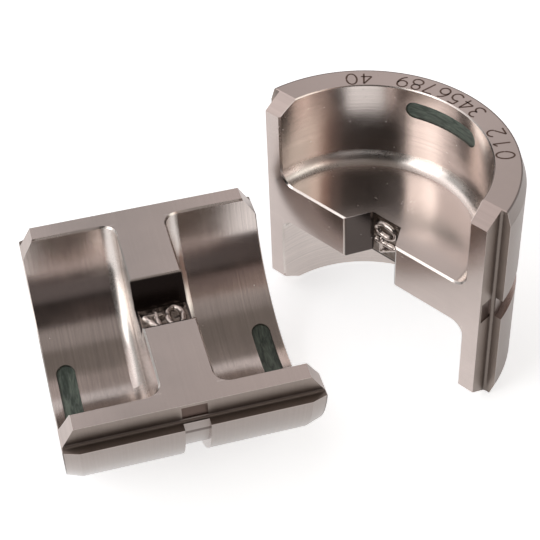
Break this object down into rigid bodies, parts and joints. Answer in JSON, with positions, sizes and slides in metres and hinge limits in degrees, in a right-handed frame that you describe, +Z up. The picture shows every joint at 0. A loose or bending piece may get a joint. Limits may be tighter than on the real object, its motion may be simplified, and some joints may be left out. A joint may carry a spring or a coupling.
{
  "type": "compression die",
  "caption": "Matched pair of half-round steel dies with a half-hexagon nest in a web between two bored recesses, for pressing cable lugs.",
  "frame": {"origin": "on the surface that the pair rests on, under the middle of its bounding box", "axes": "+Z up; +X from the half that lies on its round back to the half that stands on an end face; +Y away from the viewer; the lying half's axis is along X"},
  "size_m": [0.0676, 0.0458, 0.034],
  "materials": {
    "steel": "satin milled and turned tool steel, with polished edges",
    "mark_paint": "dark green-grey paint in the slots"
  },
  "bodies": {
    "root": {"die_half_lying": "steel", "die_half_standing": "steel", "mark_lying_left": "mark_paint", "mark_lying_right": "mark_paint", "mark_standing_top": "mark_paint", "mark_standing_bottom": "mark_paint"}
  },
  "joints": []
}
